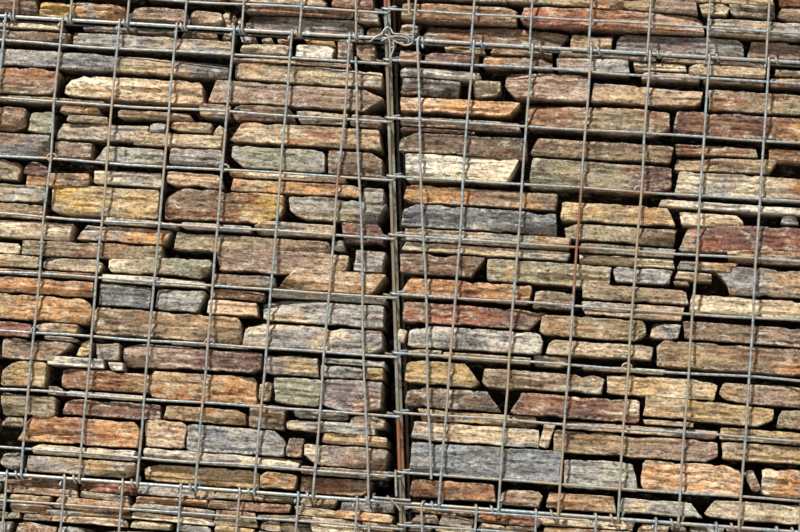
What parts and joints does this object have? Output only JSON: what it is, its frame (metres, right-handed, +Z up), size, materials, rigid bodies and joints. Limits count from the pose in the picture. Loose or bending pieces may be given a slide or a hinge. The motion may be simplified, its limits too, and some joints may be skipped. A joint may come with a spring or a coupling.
{
  "type": "gabion wall of welded-mesh baskets with hand-packed stone",
  "caption": "Free-standing stretch of gabion wall: welded wire baskets in three tiers, laced by rods at a leaning joint and filled with hand-packed stone.",
  "frame": {"origin": "centre of the underside, on the ground", "axes": "+Z up, +X along the wall, the face seen in the picture towards -Y"},
  "size_m": [1.9556, 0.8036, 2.3796],
  "materials": {
    "mesh_steel": "hot-dip galvanised wire, dull, with tan stains",
    "rod_steel": "galvanised rod, partly rusted",
    "stone": "split schist slabs, buff, grey and rust-brown"
  },
  "bodies": {
    "root": {"back_level_rods": "rod_steel", "back_panel_left_bottom": "mesh_steel", "back_panel_left_middle": "mesh_steel", "back_panel_left_top": "mesh_steel", "back_panel_right_bottom": "mesh_steel", "back_panel_right_middle": "mesh_steel", "back_panel_right_top": "mesh_steel", "base_panel_left": "mesh_steel", "base_panel_right": "mesh_steel", "bracing_ties_left": "mesh_steel", "bracing_ties_right": "mesh_steel", "corner_rods": "rod_steel", "depth_rods": "rod_steel", "end_panel_left_bottom": "mesh_steel", "end_panel_left_middle": "mesh_steel", "end_panel_left_top": "mesh_steel", "end_panel_right_bottom": "mesh_steel", "end_panel_right_middle": "mesh_steel", "end_panel_right_top": "mesh_steel", "front_level_rods": "rod_steel", "front_panel_left_bottom": "mesh_steel", "front_panel_left_middle": "mesh_steel", "front_panel_left_top": "mesh_steel", "front_panel_right_bottom": "mesh_steel", "front_panel_right_middle": "mesh_steel", "front_panel_right_top": "mesh_steel", "joint_rods": "rod_steel", "lid_panel_left": "mesh_steel", "lid_panel_right": "mesh_steel", "lower_floor_panel_left": "mesh_steel", "lower_floor_panel_right": "mesh_steel", "partition_panel_bottom": "mesh_steel", "partition_panel_middle": "mesh_steel", "partition_panel_top": "mesh_steel", "stone_fill_left_bottom": "stone", "stone_fill_left_middle": "stone", "stone_fill_left_top": "stone", "stone_fill_right_bottom": "stone", "stone_fill_right_middle": "stone", "stone_fill_right_top": "stone", "upper_floor_panel_left": "mesh_steel", "upper_floor_panel_right": "mesh_steel"}
  },
  "joints": []
}
